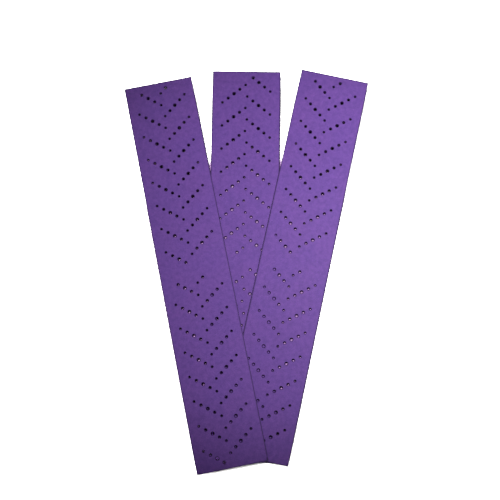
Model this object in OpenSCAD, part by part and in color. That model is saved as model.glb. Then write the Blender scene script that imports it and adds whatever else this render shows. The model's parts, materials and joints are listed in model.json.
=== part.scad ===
// Three perforated hook-and-loop sanding strips, loosely fanned in a stack.
// The frame's origin is the centre of the lowest strip's underside, with +Z up
// and +Y along that strip.

/* [Strip] */
// Width of one strip
strip_w = 70; // [68:0.5:80]
// Length of one strip
strip_l = 396; // [394:0.5:420]
// Radius of the strip's die-cut corners
corner_r = 1; // [0.5:0.25:3]

/* [Layers] */
// Thickness of the brushed loop fabric on the underside
loop_t = 0.75; // [0.5:0.05:1.5]
// Thickness of the adhesive that laminates the fabric to the film
adhesive_t = 0.1; // [0.05:0.05:0.2]
// Thickness of the film backing
film_t = 0.15; // [0.1:0.05:0.3]
// Thickness of the resin make coat that bonds the grain to the film
make_t = 0.05; // [0.05:0.05:0.1]
// Thickness of the abrasive grain and its tinted size coat on the working face
grain_t = 0.15; // [0.1:0.05:0.3]

/* [Dust holes] */
// Diameter of the holes at the two ends of an arm
hole_small_d = 2.5; // [2:0.1:3]
// Diameter of the holes beside the middle one
hole_medium_d = 3; // [2:0.1:3.5]
// Diameter of the middle hole of an arm
hole_large_d = 3.5; // [2:0.1:3.8]
// Distance of an arm's outermost hole from the strip's centreline
arm_reach = 24.5; // [24:0.1:28]
// Step between an arm's holes across the strip
step_across = 5.9; // [5:0.1:6]
// Step between an arm's holes along the strip
step_along = 4.7; // [4.2:0.1:4.8]
// Distance from one chevron to the next
row_pitch = 24.3; // [23:0.1:24.5]
// Distance between the strip's two punched panels
panel_pitch = 200; // [199:0.5:202]

/* [Fan] */
// Air left between one strip and the next
strip_gap = 0.15; // [0.1:0.05:0.5]
// Turn of the middle strip of the stack, which lies to the right
right_angle = -11.5; // [-20:0.1:-5]
// Centre of the right strip, across
right_x = 51.5; // [45:0.1:60]
// Centre of the right strip, along
right_y = -0.5; // [-10:0.1:10]
// Turn of the top strip of the stack, which lies to the left
left_angle = 12.3; // [5:0.1:20]
// Centre of the left strip, across
left_x = -49; // [-60:0.1:-45]
// Centre of the left strip, along
left_y = -10.1; // [-15:0.1:5]

/* [Hidden] */

$fn = 32;
eps = 0.5;

// The layers lie face to face, from the loop fabric up to the grain.
adhesive_z = loop_t;
film_z = adhesive_z + adhesive_t;
make_z = film_z + film_t;
grain_z = make_z + make_t;
strip_t = grain_z + grain_t;
stack_step = strip_t + strip_gap;

loop_colour = [0.90, 0.88, 0.83];
adhesive_colour = [0.86, 0.80, 0.62];
film_colour = [0.80, 0.78, 0.80];
make_colour = [0.29, 0.20, 0.38];
grain_colour = [0.43, 0.31, 0.60];

// A strip has two panels. Each has eight chevrons of two arms, and an arm has five holes.
// The left arm of a chevron runs down to the centreline, and the right arm does so
// half a chevron further up. Holes that would come too near a panel's end are left out.
panels = 2;
rows = 8;
arm_holes = 5;
arm_diameters = [hole_small_d, hole_medium_d, hole_large_d, hole_medium_d, hole_small_d];
LEFT = 0;
RIGHT = 1;

function is_punched(arm, row, i) =
  arm == LEFT ? !(row == 0 && i == 0) && !(row == rows - 1 && i == arm_holes - 1)
              : !(row == 0 && i < 3);

// The end margins are equal: the first hole is hole 3 of the first right arm,
// and the last is hole 3 of the last left arm.
last_offset = panel_pitch + (rows - 1) * row_pitch + 3 * step_along;
first_offset = 3 * step_along - row_pitch / 2;
first_row = (strip_l - last_offset - first_offset) / 2;

function hole_x(arm, i) = (arm == LEFT ? -1 : 1) * (arm_reach - i * step_across);

function hole_y(panel, arm, row, i) =
  strip_l / 2 - first_row - panel * panel_pitch - row * row_pitch - i * step_along
  + (arm == RIGHT ? row_pitch / 2 : 0);

// The cutters of all the dust holes of one strip, through height t
module dust_holes(t) {
  for (panel = [0 : panels - 1], row = [0 : rows - 1], arm = [LEFT, RIGHT], i = [0 : arm_holes - 1]) {
    if (is_punched(arm, row, i)) {
      translate([hole_x(arm, i), hole_y(panel, arm, row, i), -eps])
        cylinder(d = arm_diameters[i], h = t + 2 * eps);
    }
  }
}

// The die-cut outline of a strip
module outline() {
  square([strip_w, strip_l - 2 * corner_r], center = true);
  square([strip_w - 2 * corner_r, strip_l], center = true);
  for (sx = [-1, 1], sy = [-1, 1]) {
    translate([sx * (strip_w / 2 - corner_r), sy * (strip_l / 2 - corner_r)])
      circle(r = corner_r);
  }
}

// One punched layer of a strip, t thick, with its underside at height z
module layer(z, t) {
  translate([0, 0, z]) {
    difference() {
      linear_extrude(height = t) outline();
      dust_holes(t);
    }
  }
}

// The lowest strip lies the other way round, with its chevrons pointing up the fan.
module centre_place() {
  rotate([0, 0, 180]) children();
}

module right_place() {
  translate([right_x, right_y, stack_step]) rotate([0, 0, right_angle]) children();
}

module left_place() {
  translate([left_x, left_y, 2 * stack_step]) rotate([0, 0, left_angle]) children();
}

module centre_loop_fabric() {
  color(loop_colour) centre_place() layer(0, loop_t);
}

module centre_adhesive() {
  color(adhesive_colour) centre_place() layer(adhesive_z, adhesive_t);
}

module centre_film_backing() {
  color(film_colour) centre_place() layer(film_z, film_t);
}

module centre_make_coat() {
  color(make_colour) centre_place() layer(make_z, make_t);
}

module centre_grain_coat() {
  color(grain_colour) centre_place() layer(grain_z, grain_t);
}

module right_loop_fabric() {
  color(loop_colour) right_place() layer(0, loop_t);
}

module right_adhesive() {
  color(adhesive_colour) right_place() layer(adhesive_z, adhesive_t);
}

module right_film_backing() {
  color(film_colour) right_place() layer(film_z, film_t);
}

module right_make_coat() {
  color(make_colour) right_place() layer(make_z, make_t);
}

module right_grain_coat() {
  color(grain_colour) right_place() layer(grain_z, grain_t);
}

module left_loop_fabric() {
  color(loop_colour) left_place() layer(0, loop_t);
}

module left_adhesive() {
  color(adhesive_colour) left_place() layer(adhesive_z, adhesive_t);
}

module left_film_backing() {
  color(film_colour) left_place() layer(film_z, film_t);
}

module left_make_coat() {
  color(make_colour) left_place() layer(make_z, make_t);
}

module left_grain_coat() {
  color(grain_colour) left_place() layer(grain_z, grain_t);
}

centre_loop_fabric();
centre_adhesive();
centre_film_backing();
centre_make_coat();
centre_grain_coat();
right_loop_fabric();
right_adhesive();
right_film_backing();
right_make_coat();
right_grain_coat();
left_loop_fabric();
left_adhesive();
left_film_backing();
left_make_coat();
left_grain_coat();
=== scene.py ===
"""Looks for a fanned set of three perforated hook-and-loop sanding strips.

Each strip is a laminate of five punched layers. The layers are read from the frame and
built again with fine round holes, rounded rims and a slight relaxed curl.
"""
import json
import math

import bpy
import numpy as np
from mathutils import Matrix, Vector, geometry


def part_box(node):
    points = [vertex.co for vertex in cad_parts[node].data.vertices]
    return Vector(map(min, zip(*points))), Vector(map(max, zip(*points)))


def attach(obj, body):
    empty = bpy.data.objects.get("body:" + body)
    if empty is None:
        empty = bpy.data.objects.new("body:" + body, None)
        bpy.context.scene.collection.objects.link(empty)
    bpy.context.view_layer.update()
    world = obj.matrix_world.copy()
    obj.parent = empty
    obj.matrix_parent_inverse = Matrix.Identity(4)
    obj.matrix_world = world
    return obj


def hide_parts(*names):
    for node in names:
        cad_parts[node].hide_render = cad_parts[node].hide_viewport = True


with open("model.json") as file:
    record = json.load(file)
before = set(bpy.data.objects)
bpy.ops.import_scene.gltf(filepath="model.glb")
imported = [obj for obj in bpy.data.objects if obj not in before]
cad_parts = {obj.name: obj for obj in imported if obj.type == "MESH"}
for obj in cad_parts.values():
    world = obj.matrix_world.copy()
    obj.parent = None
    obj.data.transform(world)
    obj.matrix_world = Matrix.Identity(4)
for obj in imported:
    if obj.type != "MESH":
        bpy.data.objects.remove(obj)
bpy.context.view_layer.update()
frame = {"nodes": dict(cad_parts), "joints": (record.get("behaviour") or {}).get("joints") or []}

MM = 0.001
STRIPS = ("centre", "right", "left")
LAYERS = ("loop_fabric", "adhesive", "film_backing", "make_coat", "grain_coat")

# The relaxed curl of the strips and the distances over which it rises, in millimetres. It
# depends only on the distance from the swivel axis, and a higher strip never curls less than
# a lower one, so the strips stay clear of each other however they are fanned.
FAR_CURL = 7.5
FAR_CURL_FROM = 240
FAR_END = 440
NEAR_CURL = {"centre": 3.0, "right": 4.5, "left": 6.0}
NEAR_CURL_FROM = 200
NEAR_END = 42

# Mesh sizes, in millimetres. The pile closes in on the holes by PILE_CLOSING.
LATTICE = 3.2
PILE_LATTICE = 1.15
EDGE_STEP = 2.0
RIM_ROUNDING = 0.06
PILE_CLOSING = 0.55

# How many points there are round a hole and round a corner, how high the lattice's triangles
# are for their side, and the angle from which an edge is sharp
HOLE_POINTS = 28
CORNER_POINTS = 7
TRIANGLE_HEIGHT = 0.866
SHARP_ANGLE = math.radians(40)

# The width of the dark line along a cut, in millimetres, and how many times wider it is along the outline
# than round a hole; the extra width along the outline is painted shade along the strips' edges
CUT_WIDTH = 0.45
HIDDEN_CUT_WIDTH = 0.5
PILE_CUT_WIDTH = 0.6
OUTLINE_WIDENING = 3.4

# The loop pile: its sizes in millimetres, then the shares of its knitted rows and its tufts
PILE_DEPTH = 0.14
PILE_EDGE = 0.8
KNIT_PITCH = 2.3
TUFT_SIZE = 3.1
KNIT_SHARE = 0.55
TUFT_SHARE = 0.45
WAVES = 9

# How far the grain's textures are shifted from one strip to the next, in metres
GRAIN_SHIFT = (0.37, 0.11)

# The floor's sizes, in metres
FLOOR_Z = -0.0003
FLOOR_HALF = 40.0
COVER_REACH = 0.025

# The floor's colours by how open it is overhead, from 0 to 1: painted shade that darkens the floor where
# the strips lie flat, in the forks between them, and under their raised ends
BLACK = (0, 0, 0)
WHITE = (1, 1, 1)
PALE = (0.8, 0.79, 0.79)
SHADE_UNDER_FLAT = (
    (0.035, (0.002, 0.0004, 0.006)), (0.09, (0.135, 0.074, 0.165)), (0.30, (0.100, 0.058, 0.120)),
    (0.58, (0.066, 0.040, 0.078)), (0.63, PALE))
SHADE_IN_FORKS = (
    (0.035, (0.002, 0.0004, 0.006)), (0.09, (0.135, 0.074, 0.165)), (0.27, (0.100, 0.058, 0.120)),
    (0.37, PALE))
SHADE_UNDER_RAISED = (
    (0.035, (0.001, 0.0002, 0.003)), (0.36, (0.003, 0.001, 0.008)), (0.50, (0.030, 0.022, 0.036)),
    (0.60, PALE))

# Where the floor's painted shade changes, as distances from the swivel axis in metres
FORKS_FROM = 0.318
FORKS_FULLY = 0.336
NEAR_RAISED_TO = 0.15
FAR_RAISED_FROM = 0.358
FAR_RAISED_FULLY = 0.415

# Spot lamps for the strips: name, place and target in metres, beam in degrees, blend, radius
# in metres, and watts
STRIP_LAMPS = (
    ("near_key", (0.129, 0.046, 0.302), (0.054, 0.030, 0), 81.2, 0.43, 0.05, 3.7),
    ("far_key", (-0.16, 0.26, 0.80), (0.110, 0.024, 0), 45.1, 1.0, 0.04, 6.2),
    ("right_fill", (0.160, 0.240, 0.350), (0.140, 0.210, 0), 38, 1.0, 0.04, 0.8),
    ("left_fill", (-0.160, 0.240, 0.350), (-0.130, 0.200, 0), 38, 1.0, 0.04, 0.25),
)

# Lamps for the floor: a sun, and a ring of soft lamps round the stage, in metres and watts
FLOOR_KEY_PLACE = (-0.12, 0.17, 0.80)
FLOOR_KEY_ANGLE = 9
FLOOR_KEY_STRENGTH = 15
RING_LAMPS = 12
RING_RADIUS = 1.6
RING_HEIGHT = 0.75
RING_LAMP_SIZE = 0.3
RING_LAMP_WATTS = 13
AMBIENT = 0.08

# The camera's place in metres, its turn in degrees, and its lens and sensor in millimetres
CAMERA_PLACE = (0.0186, -0.2164, 1.0814)
CAMERA_TURN = (11.916, 0.461, 0.913)
CAMERA_LENS = 79.2
SENSOR_WIDTH = 36

axis = frame["joints"][0]["pos_m"]


# ---------------------------------------------------------------- reading the frame
def merged_top(node):
    """A CAD layer's top face: its points, in metres, and its triangles."""
    same_height = 1e-6
    steps_per_metre = 1e7
    mesh = frame["nodes"][node].data
    mesh.calc_loop_triangles()
    points = np.array([v.co for v in mesh.vertices])
    triangles = np.array([t.vertices for t in mesh.loop_triangles])
    top = points[:, 2].max()
    on_top = np.abs(points[triangles][:, :, 2] - top).max(axis=1) < same_height
    keys = np.round(points[:, :2] * steps_per_metre).astype(np.int64)
    _, first, same = np.unique(keys, axis=0, return_index=True, return_inverse=True)
    return points[first][:, :2], same.reshape(-1)[triangles[on_top]]


def edge_loops(points, triangles):
    """The closed loops that bound a flat set of triangles."""
    directed = {(int(a), int(b)) for t in triangles for a, b in zip(t, np.roll(t, -1))}
    following = {a: b for a, b in directed if (b, a) not in directed}
    loops = []
    while following:
        start, at = following.popitem()
        loop = [start]
        while at != start:
            loop.append(at)
            at = following.pop(at)
        loops.append(points[loop])
    return loops


def area_and_centre(loop):
    """The signed area of a polygon and its centroid."""
    x, y = (loop - loop[0]).T
    cross = x * np.roll(y, -1) - np.roll(x, -1) * y
    area = cross.sum() / 2
    cx = ((x + np.roll(x, -1)) * cross).sum() / (6 * area)
    cy = ((y + np.roll(y, -1)) * cross).sum() / (6 * area)
    return area, loop[0] + (cx, cy)


class Strip:
    """A strip's place and its punched holes, in millimetres, read from its grain coat."""

    def __init__(self, name):
        loops = edge_loops(*merged_top(name + "_grain_coat"))
        loops.sort(key=lambda loop: -abs(area_and_centre(loop)[0]))
        outline = loops[0]
        self.name = name
        self.centre = area_and_centre(outline)[1]
        sides = np.roll(outline, -1, axis=0) - outline
        longest = sides[np.argmax((sides**2).sum(axis=1))]
        self.along = longest / np.linalg.norm(longest)
        if self.along[1] < 0:
            self.along = -self.along
        self.across = np.array((self.along[1], -self.along[0]))
        local = self.to_local(outline)
        self.half_w, self.half_l = np.abs(local).max(axis=0)
        same_end = 1e-4
        straight = local[np.abs(local[:, 1]) > self.half_l - same_end]
        self.corner = self.half_w - np.abs(straight[:, 0]).max()
        self.holes = []
        for loop in loops[1:]:
            middle = area_and_centre(loop)[1]
            radius = np.linalg.norm(loop - middle, axis=1).max() / MM
            self.holes.append((*self.to_local(middle[None])[0], radius))
        self.holes.sort(key=lambda hole: (-round(hole[1], 2), hole[0]))

    def to_local(self, points):
        """Points of the row frame, in metres, as millimetres across and along the strip."""
        return (points - self.centre) @ np.stack((self.across, self.along), axis=1) / MM

    def to_row(self, local):
        """Points in millimetres across and along the strip, as metres in the row frame."""
        return self.centre + local * MM @ np.stack((self.across, self.along))


# ---------------------------------------------------------------- meshes
def outline_ring(strip, inset):
    """The die-cut outline, anticlockwise, with its corners rounded."""
    w, l, r = strip.half_w - inset, strip.half_l - inset, strip.corner
    corners = ((1, 1), (-1, 1), (-1, -1), (1, -1))
    directions = ((-1, 0), (0, -1), (1, 0), (0, 1))
    ring = []
    for quarter, (sx, sy) in enumerate(corners):
        for turn in np.linspace(quarter, quarter + 1, CORNER_POINTS) * math.pi / 2:
            ring.append((sx * (w - r) + r * math.cos(turn), sy * (l - r) + r * math.sin(turn)))
        ahead = corners[(quarter + 1) % 4]
        far = (ahead[0] * (w - r), ahead[1] * (l - r))
        direction = directions[quarter]
        start = ring[-1]
        length = abs((far[0] - start[0]) * direction[0] + (far[1] - start[1]) * direction[1])
        steps = max(1, round(length / EDGE_STEP))
        for k in range(1, steps):
            share = k * length / steps
            ring.append((start[0] + direction[0] * share, start[1] + direction[1] * share))
    return np.array(ring)


def hole_ring(hole, widening):
    """The rim of a punched hole, anticlockwise."""
    x, y, r = hole
    turn = np.arange(HOLE_POINTS) * 2 * math.pi / HOLE_POINTS
    return np.stack((x + (r + widening) * np.cos(turn), y + (r + widening) * np.sin(turn)), axis=1)


def lattice_points(strip, spacing):
    """Points in rows over a strip, clear of its edge and its holes. The margins at the two ends
    and sides are shares of the spacing."""
    bottom, top, left, right = 0.7, 0.5, 0.6, 0.4
    hole_margin = 0.45 * min(spacing, 1.6)
    row_step = spacing * TRIANGLE_HEIGHT
    rows = np.arange(-strip.half_l + spacing * bottom, strip.half_l - spacing * top, row_step)
    points = []
    for k, y in enumerate(rows):
        shift = spacing / 2 * (k % 2)
        xs = np.arange(-strip.half_w + spacing * left + shift, strip.half_w - spacing * right, spacing)
        points.append(np.stack((xs, np.full(len(xs), y)), axis=1))
    points = np.concatenate(points)
    for x, y, r in strip.holes:
        away = np.hypot(points[:, 0] - x, points[:, 1] - y)
        points = points[away > r + hole_margin]
    return points


def cap(strip, spacing, inset=0.0, widening=0.0):
    """A punched sheet's flat face: points in millimetres, triangles, and the rings of its rims."""
    rings = [outline_ring(strip, inset)] + [hole_ring(h, inset + widening) for h in strip.holes]
    points, faces = [], []
    for ring in rings:
        faces.append(list(range(len(points), len(points) + len(ring))))
        points += [Vector(p) for p in ring]
    points += [Vector(p) for p in lattice_points(strip, spacing)]
    inside_only, tolerance, with_sources = 1, 1e-5, True
    made = geometry.delaunay_2d_cdt(points, [], faces, inside_only, tolerance, with_sources)
    verts, _, triangles, from_points, _, from_faces = made
    # A triangle in a hole comes from the hole's ring as well as from the outline, ring 0.
    sheet = [t for t, source in zip(triangles, from_faces) if list(source) == [0]]
    place = {}
    for index, sources in enumerate(from_points):
        for source in sources:
            place[source] = index
    loops = [[place[i] for i in face] for face in faces]
    return np.array([v[:] for v in verts]), sheet, loops


def rims_only(strip):
    """A section that has only rims, for the turn of a rounded edge."""
    rings = [outline_ring(strip, 0.0)] + [hole_ring(h, 0.0) for h in strip.holes]
    loops, count = [], 0
    for ring in rings:
        loops.append(list(range(count, count + len(ring))))
        count += len(ring)
    return np.concatenate(rings), [], loops


def lift(name, xy):
    """How far a relaxed strip stands above its flat place, in millimetres."""
    away = np.hypot(xy[:, 0] - axis[0], xy[:, 1] - axis[1]) / MM
    far = np.clip((away - FAR_CURL_FROM) / (FAR_END - FAR_CURL_FROM), 0, None)
    near = np.clip((NEAR_CURL_FROM - away) / (NEAR_CURL_FROM - NEAR_END), 0, None)
    return FAR_CURL * far**2 + NEAR_CURL[name] * near**2


def waves(xy, seed, size):
    """A smooth random height over a sheet, mostly from -1 to 1, with bumps of about that size."""
    shortest, longest = 0.7, 1.5
    draw = np.random.default_rng(seed)
    total = np.zeros(len(xy))
    for _ in range(WAVES):
        turn, phase = draw.uniform(0, 2 * math.pi, 2)
        pitch = size * draw.uniform(shortest, longest)
        along = xy[:, 0] * math.cos(turn) + xy[:, 1] * math.sin(turn)
        total += np.sin(2 * math.pi * along / pitch + phase)
    return total / (WAVES / 2)


def edge_distance(strip, local):
    """The distance from each point to the nearest cut edge or hole, in millimetres. It counts less from the
    outline, so that the dark band there is wider: painted shade along the strips' edges."""
    from_side = strip.half_w - np.abs(local[:, 0])
    from_end = strip.half_l - np.abs(local[:, 1])
    nearest = np.minimum(from_side, from_end) / OUTLINE_WIDENING
    for x, y, r in strip.holes:
        nearest = np.minimum(nearest, np.hypot(local[:, 0] - x, local[:, 1] - y) - r)
    return np.clip(nearest, 0, None)


def wall_faces(sections, starts):
    """The quads that join neighbouring sections of a sheet along all their rims."""
    faces = []
    for low in range(len(sections) - 1):
        high = low + 1
        loops_low, loops_high = sections[low][0][2], sections[high][0][2]
        for index, (a, b) in enumerate(zip(loops_low, loops_high)):
            for k in range(len(a)):
                j = (k + 1) % len(a)
                wall = [starts[low] + a[k], starts[low] + a[j], starts[high] + b[j], starts[high] + b[k]]
                faces.append(wall if index == 0 else wall[::-1])
    return faces


def make_piece(name, strip, sections, material, node):
    """A closed punched sheet. sections go from its underside to its top: (cap, height, relief)."""
    flat, heights, starts = [], [], []
    for (points, _, _), height, relief in sections:
        starts.append(sum(len(p) for p in flat))
        flat.append(points)
        heights.append(np.full(len(points), float(height)) + relief)
    faces = wall_faces(sections, starts)
    faces += [[starts[0] + i for i in reversed(t)] for t in sections[0][0][1]]
    faces += [[starts[-1] + i for i in t] for t in sections[-1][0][1]]
    local = np.concatenate(flat)
    xy = strip.to_row(local)
    z = (np.concatenate(heights) + lift(strip.name, xy)) * MM
    mesh = bpy.data.meshes.new(name)
    mesh.from_pydata(np.column_stack((xy, z)).tolist(), [], faces)
    edge = mesh.attributes.new("edge_mm", "FLOAT", "POINT")
    edge.data.foreach_set("value", edge_distance(strip, local).astype(np.float32))
    mesh.materials.append(material)
    piece = bpy.data.objects.new(name, mesh)
    bpy.context.scene.collection.objects.link(piece)
    smooth_by_angle(mesh)
    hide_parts(node)
    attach(piece, strip.name + "_strip")
    return piece


def smooth_by_angle(mesh):
    """Smooth faces, with the sharp edges between a sheet's faces and its cut walls kept."""
    mesh.polygons.foreach_set("use_smooth", np.ones(len(mesh.polygons), bool))
    mesh.set_sharp_from_angle(angle=SHARP_ANGLE)


# ---------------------------------------------------------------- materials
def new_material(name):
    """A material, with its nodes, its links and its shader."""
    material = bpy.data.materials.new(name)
    material.use_nodes = True
    nodes = material.node_tree.nodes
    return material, nodes, material.node_tree.links, nodes["Principled BSDF"]


def value_node(nodes, kind, **settings):
    """A node with some of its properties and inputs set by name."""
    node = nodes.new(kind)
    for key, value in settings.items():
        if hasattr(node, key):
            setattr(node, key, value)
        else:
            node.inputs[key.replace("_", " ")].default_value = value
    return node


def texture(nodes, links, place, kind, **settings):
    """A texture node that takes its coordinates from place."""
    node = value_node(nodes, kind, **settings)
    links.new(place, node.inputs["Vector"])
    return node


def ramp(nodes, links, source, stops):
    """A colour ramp fed by source, with stops of (position, colour)."""
    node = nodes.new("ShaderNodeValToRGB")
    elements = node.color_ramp.elements
    while len(elements) < len(stops):
        elements.new(0.5)
    for element, (position, colour) in zip(elements, stops):
        element.position = position
        element.color = (*colour, 1)
    links.new(source, node.inputs[0])
    return node.outputs[0]


def mix_colour(nodes, links, blend, factor, first, second):
    """A colour mix, where each value is a socket, a colour or a number."""
    node = nodes.new("ShaderNodeMix")
    node.data_type = "RGBA"
    node.blend_type = blend
    for socket, value in zip((node.inputs[0], node.inputs[6], node.inputs[7]), (factor, first, second)):
        if hasattr(value, "links"):
            links.new(value, socket)
        elif isinstance(value, tuple):
            socket.default_value = (*value, 1)
        else:
            socket.default_value = value
    return node.outputs[2]


def dark_cuts_and_painted_shade(nodes, links, colour, width, cut_and_shade_colour):
    """Colour darkened along the cut outline and hole walls, over a width in millimetres: partly the cut's
    own dark edge, partly painted shade in the holes and along the edges.
    """
    near_edge = value_node(nodes, "ShaderNodeAttribute", attribute_name="edge_mm")
    band = value_node(nodes, "ShaderNodeMapRange", interpolation_type="SMOOTHSTEP",
                      From_Min=0.0, From_Max=width, To_Min=1.0, To_Max=0.0)
    links.new(near_edge.outputs["Fac"], band.inputs["Value"])
    return mix_colour(nodes, links, "MIX", band.outputs[0], colour, cut_and_shade_colour)


def add_relief(nodes, links, shader, cells, depth, fine, strength, distance):
    """Bumps the shader's surface with cells sunk by depth into a fine texture."""
    height = value_node(nodes, "ShaderNodeMath", operation="MULTIPLY_ADD")
    height.inputs[1].default_value = -depth
    links.new(cells.outputs["Distance"], height.inputs[0])
    links.new(fine.outputs["Fac"], height.inputs[2])
    bump = value_node(nodes, "ShaderNodeBump", Strength=strength, Distance=distance)
    links.new(height.outputs[0], bump.inputs["Height"])
    links.new(bump.outputs[0], shader.inputs["Normal"])


def add_gloss(nodes, links, shader, source, **limits):
    """Lets the roughness follow a texture, between limits."""
    gloss = value_node(nodes, "ShaderNodeMapRange", **limits)
    links.new(source.outputs["Fac"], gloss.inputs["Value"])
    links.new(gloss.outputs[0], shader.inputs["Roughness"])


def grain_material(strip_name, offset):
    """Mineral grain in a violet size coat: fine facets, faint mottling, and cut edges darkened partly as
    painted shade.
    """
    material, nodes, links, shader = new_material("violet_grain_" + strip_name)
    shifted = value_node(nodes, "ShaderNodeVectorMath", operation="ADD")
    shifted.inputs[1].default_value = offset
    links.new(nodes.new("ShaderNodeTexCoord").outputs["Object"], shifted.inputs[0])
    place = shifted.outputs[0]
    grain = texture(nodes, links, place, "ShaderNodeTexNoise", Scale=2600.0, Detail=3.0, Roughness=0.6)
    facets = texture(nodes, links, place, "ShaderNodeTexVoronoi", Scale=3200.0)
    mottle = texture(nodes, links, place, "ShaderNodeTexNoise", Scale=260.0, Detail=3.0, Roughness=0.55)
    cloud = texture(nodes, links, place, "ShaderNodeTexNoise", Scale=34.0, Detail=2.0, Roughness=0.5)
    resin = ramp(nodes, links, grain.outputs["Fac"], (
        (0.30, (0.093, 0.033, 0.225)), (0.52, (0.143, 0.0555, 0.326)), (0.74, (0.215, 0.095, 0.44))))
    blotch = ramp(nodes, links, mottle.outputs["Fac"], (
        (0.32, (0.86, 0.84, 0.90)), (0.5, (1.0, 0.98, 1.0)), (0.68, (1.14, 1.12, 1.08))))
    drift = ramp(nodes, links, cloud.outputs["Fac"], ((0.35, (0.97, 0.98, 1.0)), (0.65, (1.03, 1.01, 1.0))))
    colour = mix_colour(nodes, links, "MULTIPLY", 1.0, resin, blotch)
    colour = mix_colour(nodes, links, "MULTIPLY", 1.0, colour, drift)
    # A dark cut line round the holes, and painted shade in a wider band along the outline
    colour = dark_cuts_and_painted_shade(nodes, links, colour, CUT_WIDTH, (0.032, 0.008, 0.092))
    links.new(colour, shader.inputs["Base Color"])
    add_gloss(nodes, links, shader, grain, From_Min=0.3, From_Max=0.7, To_Min=0.52, To_Max=0.78)
    add_relief(nodes, links, shader, facets, 0.6, grain, strength=0.55, distance=0.00012)
    shader.inputs["Specular IOR Level"].default_value = 0.35
    return material


def mottled_material(name, scale, detail, stops, cut_and_shade_colour, specular):
    """A hidden layer, mottled by fine noise. Also returns its nodes, links, shader and noise."""
    material, nodes, links, shader = new_material(name)
    place = nodes.new("ShaderNodeTexCoord").outputs["Object"]
    noise = texture(nodes, links, place, "ShaderNodeTexNoise", Scale=scale, Detail=detail)
    colour = ramp(nodes, links, noise.outputs["Fac"], stops)
    # Cut walls and rims take the dark colour: partly the cut's own edge, partly painted shade in the holes
    colour = dark_cuts_and_painted_shade(nodes, links, colour, HIDDEN_CUT_WIDTH, cut_and_shade_colour)
    links.new(colour, shader.inputs["Base Color"])
    shader.inputs["Specular IOR Level"].default_value = specular
    return material, nodes, links, shader, noise


def resin_material():
    """The dark make coat that shows as a line along the cut edges."""
    material, _, _, shader, _ = mottled_material(
        "violet_make_coat", 900.0, 3.0, ((0.35, (0.05, 0.024, 0.09)), (0.65, (0.09, 0.045, 0.15))),
        cut_and_shade_colour=(0.016, 0.003, 0.046), specular=0.15)
    shader.inputs["Roughness"].default_value = 0.45
    return material


def film_material():
    """Milky polyester film, with a faintly uneven gloss."""
    material, nodes, links, shader, noise = mottled_material(
        "milky_film", 700.0, 2.0, ((0.35, (0.50, 0.47, 0.53)), (0.65, (0.62, 0.60, 0.64))),
        cut_and_shade_colour=(0.018, 0.004, 0.050), specular=0.2)
    add_gloss(nodes, links, shader, noise, To_Min=0.25, To_Max=0.42)
    return material


def adhesive_material():
    """Clear laminating adhesive with a warm tint."""
    material, _, _, shader, _ = mottled_material(
        "laminating_adhesive", 1200.0, 2.0, ((0.3, (0.58, 0.50, 0.30)), (0.7, (0.74, 0.68, 0.48))),
        cut_and_shade_colour=(0.019, 0.004, 0.050), specular=0.15)
    shader.inputs["Roughness"].default_value = 0.5
    return material


def pile_material():
    """Brushed nylon loops: tufts, fine fibres and a soft sheen."""
    material, nodes, links, shader = new_material("brushed_loop_pile")
    place = nodes.new("ShaderNodeTexCoord").outputs["Object"]
    fibres = texture(nodes, links, place, "ShaderNodeTexNoise", Scale=1500.0, Detail=5.0, Roughness=0.7,
                     Distortion=1.2)
    tufts = texture(nodes, links, place, "ShaderNodeTexVoronoi", Scale=900.0)
    colour = ramp(nodes, links, fibres.outputs["Fac"], (
        (0.3, (0.55, 0.52, 0.46)), (0.5, (0.76, 0.73, 0.67)), (0.7, (0.88, 0.86, 0.81))))
    # The pile's rims and walls are darkened: partly a dark cut edge, partly painted shade in the holes
    colour = dark_cuts_and_painted_shade(nodes, links, colour, PILE_CUT_WIDTH, (0.024, 0.006, 0.056))
    links.new(colour, shader.inputs["Base Color"])
    add_relief(nodes, links, shader, tufts, 0.8, fibres, strength=0.8, distance=0.0003)
    shader.inputs["Roughness"].default_value = 0.9
    shader.inputs["Specular IOR Level"].default_value = 0.1
    shader.inputs["Sheen Weight"].default_value = 0.1
    return material


# ---------------------------------------------------------------- the strips
def pile_relief(strip, local, seed):
    """The underside's knitted rows and soft pile, in millimetres above its lowest points."""
    edge = np.clip(edge_distance(strip, local) / PILE_EDGE, 0, 1)
    rows = 0.5 + 0.5 * np.sin(2 * math.pi * local[:, 0] / KNIT_PITCH)
    tufts = 0.5 + 0.5 * waves(local, seed, TUFT_SIZE)
    return PILE_DEPTH - PILE_DEPTH * edge * np.clip(KNIT_SHARE * rows + TUFT_SHARE * tufts, 0, 1)


def build_strip(name, seed, materials):
    """The five layers of a strip, each a closed sheet that stands for its CAD node."""
    strip = Strip(name)
    sheet = cap(strip, LATTICE)
    grain_top = cap(strip, LATTICE, RIM_ROUNDING)
    pile = cap(strip, PILE_LATTICE, widening=-PILE_CLOSING)
    rims = rims_only(strip)
    made = []
    for layer in LAYERS:
        node = f"{name}_{layer}"
        low, high = (corner.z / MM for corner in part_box(node))
        if layer == "grain_coat":
            sections = [(sheet, low, 0), (rims, high - RIM_ROUNDING, 0), (grain_top, high, 0)]
        elif layer == "loop_fabric":
            relief = pile_relief(strip, pile[0], seed)
            sections = [(pile, low, relief), (sheet, high, 0)]
        else:
            sections = [(sheet, low, 0), (sheet, high, 0)]
        made.append(make_piece(f"{name}_{layer}_sheet", strip, sections, materials[layer], node))
    return made


shared = {
    "loop_fabric": pile_material(),
    "adhesive": adhesive_material(),
    "film_backing": film_material(),
    "make_coat": resin_material(),
}
pieces = []
for seed, strip_name in enumerate(STRIPS):
    grain = grain_material(strip_name, (GRAIN_SHIFT[0] * seed, GRAIN_SHIFT[1] * seed, 0.0))
    pieces += build_strip(strip_name, seed, {**shared, "grain_coat": grain})


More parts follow.
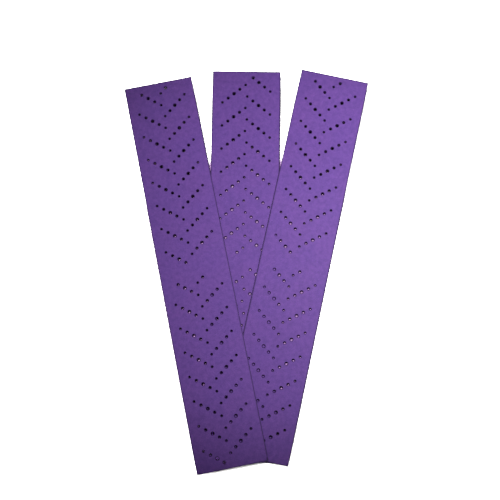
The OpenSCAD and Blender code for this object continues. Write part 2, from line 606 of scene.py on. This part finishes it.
# ---------------------------------------------------------------- stage, light and camera
def floor_material():
    """A pale surface with painted shade where the strips cover it, darker still under their raised ends."""
    material, nodes, links, shader = new_material("pale_floor_painted_shade")
    # How closely the strips cover the floor picks its colour: painted shade under and between them
    cover = value_node(nodes, "ShaderNodeAmbientOcclusion", samples=48, Distance=COVER_REACH)
    flat_shade = ramp(nodes, links, cover.outputs["AO"], SHADE_UNDER_FLAT)
    fork_shade = ramp(nodes, links, cover.outputs["AO"], SHADE_IN_FORKS)
    raised_shade = ramp(nodes, links, cover.outputs["AO"], SHADE_UNDER_RAISED)
    away = value_node(nodes, "ShaderNodeVectorMath", operation="DISTANCE")
    away.inputs[1].default_value = (axis[0], axis[1], FLOOR_Z)
    links.new(nodes.new("ShaderNodeTexCoord").outputs["Object"], away.inputs[0])
    forks = ramp(nodes, links, away.outputs["Value"], ((FORKS_FROM, BLACK), (FORKS_FULLY, WHITE)))
    raised = ramp(nodes, links, away.outputs["Value"], (
        (NEAR_END * MM, WHITE), (NEAR_RAISED_TO, BLACK),
        (FAR_RAISED_FROM, BLACK), (FAR_RAISED_FULLY, WHITE)))
    colour = mix_colour(nodes, links, "MIX", forks, flat_shade, fork_shade)
    colour = mix_colour(nodes, links, "MIX", raised, colour, raised_shade)
    links.new(colour, shader.inputs["Base Color"])
    shader.inputs["Roughness"].default_value = 0.9
    shader.inputs["Specular IOR Level"].default_value = 0.0
    return material


def make_floor():
    """A wide floor just under the lowest strip."""
    mesh = bpy.data.meshes.new("floor")
    corners = ((-1, -1), (1, -1), (1, 1), (-1, 1))
    mesh.from_pydata([(x * FLOOR_HALF, y * FLOOR_HALF, FLOOR_Z) for x, y in corners], [], [(0, 1, 2, 3)])
    mesh.materials.append(floor_material())
    floor = bpy.data.objects.new("floor", mesh)
    bpy.context.scene.collection.objects.link(floor)
    return floor


def hang_lamp(data, place, target, receivers):
    """Hangs a lamp out of the camera's sight, to light only the receivers."""
    lamp = bpy.data.objects.new(data.name, data)
    bpy.context.scene.collection.objects.link(lamp)
    lamp.location = place
    lamp.rotation_euler = (Vector(target) - Vector(place)).to_track_quat("-Z", "Y").to_euler()
    lamp.visible_camera = False
    lamp.light_linking.receiver_collection = receivers


def spot_light(name, place, target, beam, blend, radius, watts, receivers):
    """A spot lamp with a soft-edged beam."""
    data = bpy.data.lights.new(name, "SPOT")
    data.spot_size = math.radians(beam)
    data.spot_blend = blend
    data.shadow_soft_size = radius
    data.energy = watts
    hang_lamp(data, place, target, receivers)


def sun_light(name, place, angle, strength, receivers):
    """Even directional light from the side that place lies on."""
    data = bpy.data.lights.new(name, "SUN")
    data.angle = math.radians(angle)
    data.energy = strength
    hang_lamp(data, place, (0, 0, 0), receivers)


def area_light(name, place, target, size, watts, receivers):
    """A round soft lamp."""
    data = bpy.data.lights.new(name, "AREA")
    data.shape = "DISK"
    data.size = size
    data.energy = watts
    hang_lamp(data, place, target, receivers)


def make_world():
    """Dim ambient light, and a plain pale background beyond the floor."""
    world = bpy.data.worlds.new("studio")
    world.use_nodes = True
    nodes, links = world.node_tree.nodes, world.node_tree.links
    path = nodes.new("ShaderNodeLightPath")
    strength = value_node(nodes, "ShaderNodeMath", operation="ADD")
    strength.inputs[1].default_value = AMBIENT
    links.new(path.outputs["Is Camera Ray"], strength.inputs[0])
    background = nodes["Background"]
    background.inputs["Color"].default_value = (*WHITE, 1)
    links.new(strength.outputs[0], background.inputs["Strength"])
    return world


def collection_of(name, objects):
    """A collection for light linking. It isn't part of the view layer."""
    made = bpy.data.collections.new(name)
    for obj in objects:
        made.objects.link(obj)
    return made


floor = make_floor()
scene = bpy.context.scene
scene.world = make_world()
scene.view_settings.view_transform = "Standard"

lit_strips = collection_of("lit_strips", pieces)
lit_floor = collection_of("lit_floor", [floor])
for name, place, target, beam, blend, radius, watts in STRIP_LAMPS:
    spot_light(name, place, target, beam, blend, radius, watts, lit_strips)
sun_light("floor_key", FLOOR_KEY_PLACE, FLOOR_KEY_ANGLE, FLOOR_KEY_STRENGTH, lit_floor)
for step in range(RING_LAMPS):
    bearing = math.radians((step + 0.5) * 360 / RING_LAMPS)
    place = (RING_RADIUS * math.cos(bearing), RING_RADIUS * math.sin(bearing), RING_HEIGHT)
    area_light(f"studio_{step}", place, (0, 0, 0), RING_LAMP_SIZE, RING_LAMP_WATTS, lit_floor)

camera_data = bpy.data.cameras.new("camera")
camera_data.lens = CAMERA_LENS
camera_data.sensor_width = SENSOR_WIDTH
camera = bpy.data.objects.new("camera", camera_data)
scene.collection.objects.link(camera)
camera.location = CAMERA_PLACE
camera.rotation_euler = tuple(math.radians(a) for a in CAMERA_TURN)
scene.camera = camera
